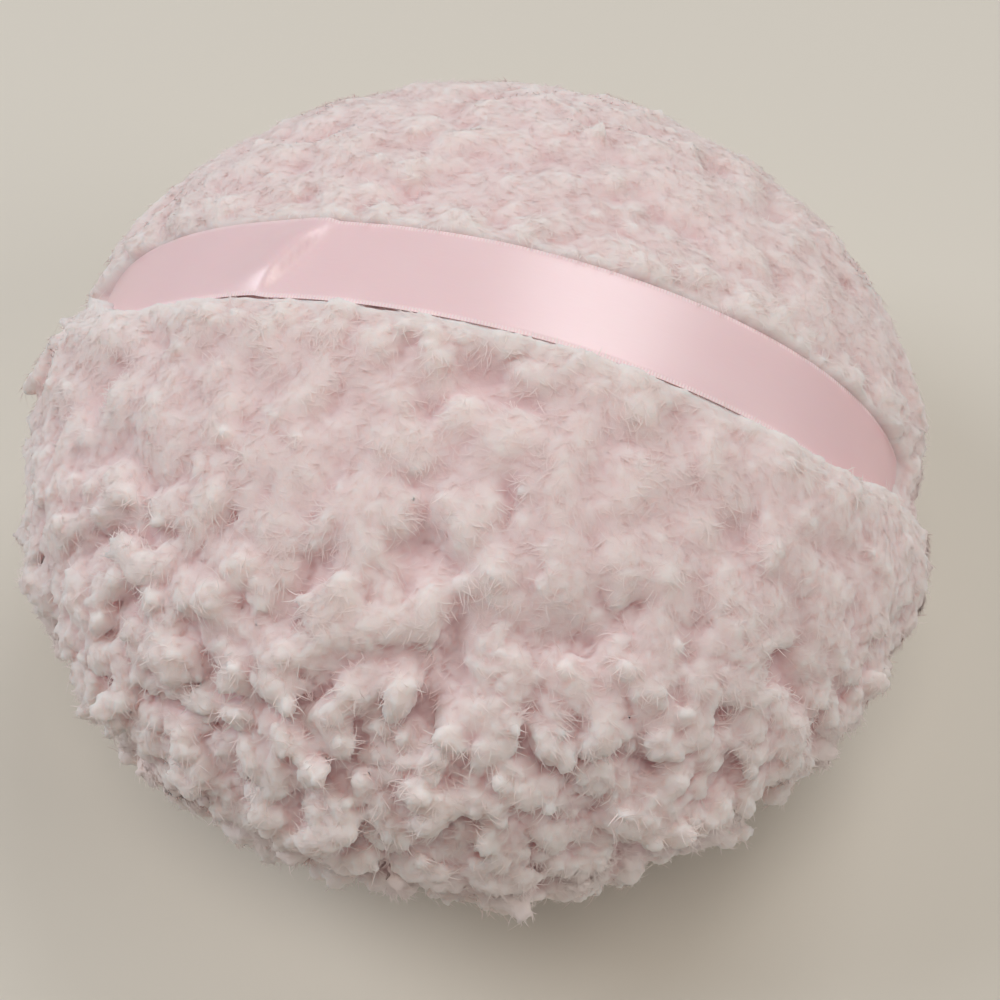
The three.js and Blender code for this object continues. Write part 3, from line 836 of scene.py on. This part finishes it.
# %% Shader helpers
class Value:
    """A shader value that Python's operators act on."""

    def __init__(self, tree, socket):
        self.tree, self.socket = tree, socket

    def maths(self, operation, *items):
        """Adds one Math node and feeds it values or plain numbers."""
        node = self.tree.nodes.new("ShaderNodeMath")
        node.operation = operation
        for slot, item in zip(node.inputs, items):
            if isinstance(item, Value):
                self.tree.links.new(item.socket, slot)
            else:
                slot.default_value = item
        return Value(self.tree, node.outputs[0])

    def __abs__(self):
        return self.maths("ABSOLUTE", self)

    def sine(self):
        return self.maths("SINE", self)


for sign, operation in (("add", "ADD"), ("sub", "SUBTRACT"), ("mul", "MULTIPLY")):
    setattr(Value, f"__{sign}__", lambda self, other, key=operation: self.maths(key, self, other))
    setattr(Value, f"__r{sign}__", lambda self, other, key=operation: self.maths(key, other, self))


class Paint:
    """A material with a principled shader, whose constants are set when it is made."""

    def __init__(self, name, **constants):
        self.material = bpy.data.materials.new(name)
        self.material.use_nodes = True
        self.tree = self.material.node_tree
        self.shader = self.tree.nodes["Principled BSDF"]
        self.feed(**constants)

    def node(self, kind, settings=None, output=0, **inputs):
        """Adds any other node, with its settings, then its inputs by name."""
        made = self.tree.nodes.new(kind)
        for key, value in (settings or {}).items():
            setattr(made, key, value)
        for key, value in inputs.items():
            names = (key, key.replace("_", " "))
            sockets = [s for s in made.inputs if s.enabled and (s.name in names or s.identifier == key)]
            self.plug(value, sockets[0])
        return Value(self.tree, made.outputs[output])

    def plug(self, value, socket):
        if isinstance(value, Value):
            self.tree.links.new(value.socket, socket)
        else:
            socket.default_value = value

    def feed(self, **inputs):
        for key, value in inputs.items():
            self.plug(value, self.shader.inputs[key.replace("_", " ")])

    def show(self, surface):
        """Sends a mix of shaders to the material's surface."""
        self.plug(surface, self.tree.nodes["Material Output"].inputs["Surface"])

    def place(self):
        """Object coordinates, the same for every piece because all objects stand at the origin."""
        return self.node("ShaderNodeTexCoord", output=3)

    def noise(self, where, scale, detail, distortion=0.0):
        inputs = {"Vector": where, "Scale": scale, "Detail": detail, "Distortion": distortion}
        return self.node("ShaderNodeTexNoise", **inputs)

    def stored(self, label):
        """A number that was kept with each point of the mesh."""
        return self.node("ShaderNodeAttribute", {"attribute_name": label}, 2)

    def mix(self, share, low, high):
        """A colour between two, given as 0 to 255 or as values."""
        ends = {k: v if isinstance(v, Value) else srgb(*v) for k, v in (("A", low), ("B", high))}
        return self.node("ShaderNodeMix", {"data_type": "RGBA"}, 2, Factor=share, **ends)

    def ramp(self, value, low, high, smooth=True):
        """0 at low and 1 at high, eased or straight between."""
        kind = {"interpolation_type": "SMOOTHSTEP" if smooth else "LINEAR"}
        return self.node("ShaderNodeMapRange", kind, Value=value, From_Min=low, From_Max=high)

    def bump(self, height, strength, distance):
        return self.node("ShaderNodeBump", Height=height, Strength=strength, Distance=distance)


def srgb(red, green, blue):
    """A screen colour from 0 to 255 as the linear colour that shaders use."""
    share = np.array([red, green, blue]) / 255
    line = np.where(share <= 0.04045, share / 12.92, ((share + 0.055) / 1.055) ** 2.4)
    return (*line.tolist(), 1.0)


print("shader helpers ready")

# %% [markdown]
# ## The pile's paint
# The wool is nearly white at its tips, and its hollows and valleys are painted a deeper pink: painted
# shade, for the light lost and reddened in more wool down there. Two tones drift over the whole puff.
# Light scatters far inside, so most of the skin's light goes through subsurface scattering. Fibres are
# too thin for that, and have the same paint without it. A fine noise in the bump roughens what the
# geometry leaves smooth.
#
# Light that enters one cover can't come out of the other, which would leave a grey line where they meet.
# So the scattering shader gives way to a plain one within a few millimetres of the seam.

# %% Pile paint
PILE_FINISH = {"Roughness": 1.0, "Sheen_Weight": 0.25, "Sheen_Roughness": 0.6, "Specular_IOR_Level": 0.05}
DEPTH_OF_LIGHT = {
    "Subsurface_Weight": 0.8,
    "Subsurface_Scale": 4.5 * MM,
    "Subsurface_Radius": (1.0, 0.7, 0.62),
}


def pile_paint(name, scatters):
    """Pale tips and painted shade of deeper pink in the depths, with light scattered below the surface or
    not.
    """
    paint = Paint(name, **PILE_FINISH)
    place = paint.place()
    tips = paint.mix(paint.noise(place, 22.0, 3.0), (243, 231, 230), (240, 226, 221))
    # Painted shade: the deeper the hollow and the valley, the deeper the pink.
    relief = paint.stored("valley") * 0.6 + paint.stored("hollow")
    colour = paint.mix(paint.ramp(relief, -1.8, 0.5, smooth=False), (226, 190, 192), tips)
    bump = paint.bump(paint.noise(place, 900.0, 4.0), 0.3, 0.3 * MM)
    paint.feed(Base_Color=colour, Normal=bump)
    if scatters:
        paint.feed(**DEPTH_OF_LIGHT)
        plain = paint.node("ShaderNodeBsdfPrincipled", Base_Color=colour, Normal=bump, **PILE_FINISH)
        away = paint.ramp(paint.stored("seam"), 1.0, 6.0)
        deep = Value(paint.tree, paint.shader.outputs[0])
        paint.show(paint.node("ShaderNodeMixShader", Fac=away, Shader=plain, Shader_001=deep))
    return paint.material


for pieces, material in (
    ((top_cover, bottom_cover), pile_paint("curly_pile", True)),
    ((top_fibres, bottom_fibres), pile_paint("loose_fibres", False)),
):
    for piece in pieces:
        piece.data.materials.append(material)
        print(piece.name, "is painted with", material.name)

# %% [markdown]
# ## The satin's paint
# Satin is woven with long floats on its face, which give a smooth sheen with fine streaks across the
# ribbon. A woven selvage runs along each edge, seen as a row of light stitches half a millimetre apart.
# The pattern follows the cloth, so it reads the place along and across the ribbon and not the room. Both
# ends are painted a deeper pink as painted shade, where less light reaches the ribbon between the curls.


# %% Satin paint
STITCH_LENGTH = 0.5
SELVAGE_FROM, SELVAGE_FULL = 7.1, 7.5


def satin_paint():
    """Floats, stitches along both selvages and painted shade at both ends, from places along and across in
    mm.
    """
    paint = Paint(
        "pink_satin",
        Specular_IOR_Level=1.0,
        Sheen_Weight=0.1,
        Sheen_Roughness=0.4,
        Subsurface_Weight=0.1,
        Subsurface_Scale=0.6 * MM,
    )
    along = paint.stored("along")
    across = paint.stored("across")
    selvage = paint.ramp(abs(across), SELVAGE_FROM, SELVAGE_FULL)
    stitch = selvage * (0.5 + 0.5 * (along * (2 * math.pi / STITCH_LENGTH)).sine())
    floats = paint.noise(paint.node("ShaderNodeCombineXYZ", X=along * 0.35, Y=across * 9.0), 1.0, 3.0)
    tone = paint.noise(paint.node("ShaderNodeCombineXYZ", X=along * 0.05, Y=across * 0.1), 1.0, 2.0)
    half = ribbon_length / 2 / MM
    ends = paint.ramp(abs(along - half), half * 0.45, half * 0.92)
    body = paint.mix(tone, (247, 213, 217), (251, 222, 225))
    # Painted shade: both ends of the ribbon turn a deeper pink.
    body = paint.mix(ends * 0.8, body, (226, 172, 178))
    woven = paint.mix(floats * 0.25, body, (232, 190, 197))
    colour = paint.mix(stitch, woven, (250, 228, 230))
    bump = paint.bump(floats * 0.25 + stitch, 0.35, 0.12 * MM)
    paint.feed(Base_Color=colour, Roughness=0.28 + 0.08 * floats + 0.2 * selvage, Normal=bump)
    return paint.material


ribbon.data.materials.append(satin_paint())
print("ribbon is painted along", f"{ribbon_length / MM:.0f} mm")

# %% [markdown]
# ## Paint for the pieces inside
# The frame's own backing, filling and threads stay as they are and show only when the puff is taken
# apart. They still get what their real materials have: rows of knitted loops, matted fibre, and thread
# of twisted plies.


# %% Inner paints
def knit_paint():
    """Rows of knitted loops: two crossed waves, with the yarn's fuzz over them."""
    paint = Paint("knitted_loops", Sheen_Weight=0.3, Specular_IOR_Level=0.2)
    place = paint.place()
    wales = paint.node("ShaderNodeTexWave", Vector=place, Scale=260.0, Distortion=1.5, Detail=1.0)
    turned = {"bands_direction": "Z"}
    courses = paint.node("ShaderNodeTexWave", turned, Vector=place, Scale=330.0, Distortion=2.0, Detail=1.0)
    fuzz = paint.noise(place, 700.0, 3.0)
    loops = wales * courses
    colour = paint.mix(loops, (214, 188, 180), (238, 220, 212))
    bump = paint.bump(loops + 0.3 * fuzz, 0.6, 0.3 * MM)
    paint.feed(Base_Color=colour, Roughness=0.8 + 0.15 * fuzz, Normal=bump)
    return paint.material


def filling_paint():
    """Matted fibre: broad noise for the clumps and fine, twisted noise for the fibres."""
    paint = Paint("matted_fibre", Sheen_Weight=0.4, Specular_IOR_Level=0.2)
    place = paint.place()
    clumps = paint.noise(place, 60.0, 4.0, 1.5)
    fibres = paint.noise(place, 500.0, 4.0, 3.0)
    colour = paint.mix(clumps, (226, 222, 214), (248, 246, 242))
    bump = paint.bump(clumps + 0.4 * fibres, 0.7, 0.8 * MM)
    paint.feed(Base_Color=colour, Roughness=0.85 + 0.1 * fibres, Normal=bump)
    return paint.material


def thread_paint():
    """Twisted thread: a diagonal wave for the plies and slow noise for the dye."""
    paint = Paint("sewing_thread", Sheen_Weight=0.2, Specular_IOR_Level=0.4)
    place = paint.place()
    slanted = {"bands_direction": "DIAGONAL"}
    plies = paint.node("ShaderNodeTexWave", slanted, Vector=place, Scale=900.0, Distortion=0.5)
    tone = paint.noise(place, 120.0, 2.0)
    colour = paint.mix(plies * 0.7 + tone * 0.3, (206, 158, 162), (240, 206, 208))
    paint.feed(Base_Color=colour, Roughness=0.5 + 0.15 * tone, Normal=paint.bump(plies, 0.5, 0.1 * MM))
    return paint.material


for names, material in (
    (("top_knit", "bottom_knit"), knit_paint()),
    (("filling",), filling_paint()),
    (("edge_seam_thread", "closing_stitches", "left_strap_tack", "right_strap_tack"), thread_paint()),
):
    for name in names:
        bpy.data.objects[name].data.materials.clear()
        bpy.data.objects[name].data.materials.append(material)
        print(name, "is painted with", material.name)

# %% [markdown]
# ## Camera
# The photo was taken by hand from close by, from the front and above. The camera's place, its angle of
# view and its small turn off the puff's middle come from a fit to the photo's outline and to both edges
# of the ribbon.

# %% Camera
CAMERA_AZIMUTH = math.radians(16.24)
CAMERA_ELEVATION = math.radians(56.69)
CAMERA_DISTANCE = 236.4 * MM
AIM_YAW = math.radians(0.867)
AIM_PITCH = math.radians(-2.358)
FIELD_OF_VIEW = math.radians(40.98)


def direction(azimuth, elevation):
    """The unit vector from the puff towards an azimuth, 0 at -Y and 90 degrees at +X, and an elevation."""
    out = math.cos(elevation)
    return np.array([math.sin(azimuth) * out, -math.cos(azimuth) * out, math.sin(elevation)])


def aim(obj, back, distance, look):
    """Puts an object at a distance from the puff's middle with its -Z axis along look."""
    obj.location = np.array([0, 0, SEAM_Z]) + back * distance
    obj.rotation_euler = Vector(look).to_track_quat("-Z", "Y").to_euler()
    bpy.context.scene.collection.objects.link(obj)


def make_camera():
    back = direction(CAMERA_AZIMUTH, CAMERA_ELEVATION)
    right = np.array([math.cos(CAMERA_AZIMUTH), math.sin(CAMERA_AZIMUTH), 0])
    look = -back + math.tan(AIM_YAW) * right + math.tan(AIM_PITCH) * np.cross(back, right)
    camera = bpy.data.objects.new("camera", bpy.data.cameras.new("camera"))
    camera.data.angle = FIELD_OF_VIEW
    camera.data.clip_start = 0.01
    aim(camera, back, CAMERA_DISTANCE, look)
    bpy.context.scene.camera = camera
    print("camera at", [round(float(value), 4) for value in camera.location])


make_camera()

# %% [markdown]
# ## Floor and light
# The puff stands on a plain pale floor. The photo's light is a room's: warm from the ceiling, brighter
# from behind on the right, which puts the sheen in the middle of the ribbon, and cooler from a window on
# the left. Large round lamps keep all shadows soft.

# %% Floor and light
FLOOR_HALF = 2
LAMP_SIZE = 0.6
LAMP_DISTANCE = 1.2

floor_corners = np.array([[-1, -1, 0], [1, -1, 0], [1, 1, 0], [-1, 1, 0]], float) * FLOOR_HALF
floor = make_object("floor", floor_corners, [np.array([[0, 1, 2, 3]])])
floor.data.materials.append(Paint("pale_floor", Roughness=0.7, Base_Color=srgb(222, 217, 206)).material)


def lamp(name, azimuth, elevation, power, colour):
    """A round lamp that faces the puff, at angles in degrees and with a power in watts."""
    light = bpy.data.lights.new(name, "AREA")
    light.shape = "DISK"
    light.size = LAMP_SIZE
    light.energy = power
    light.color = colour
    back = direction(math.radians(azimuth), math.radians(elevation))
    aim(bpy.data.objects.new(name, light), back, LAMP_DISTANCE, -back)
    print(name, "at", azimuth, "and", elevation, "degrees with", power, "W")


lamp("ceiling", 0, 80, 4.0, (1.0, 0.91, 0.82))
lamp("key", 163, 52, 3.5, (0.97, 0.98, 1.0))
lamp("left_window", 270, 40, 5.1, (0.9, 0.94, 1.0))
lamp("right_fill", 90, 32, 2.6, (1.0, 0.98, 0.95))
world = bpy.data.worlds.new("room")
world.use_nodes = True
world.node_tree.nodes["Background"].inputs["Color"].default_value = (1.0, 0.98, 0.95, 1)
world.node_tree.nodes["Background"].inputs["Strength"].default_value = 0.13
bpy.context.scene.world = world
bpy.context.scene.view_settings.view_transform = "Standard"
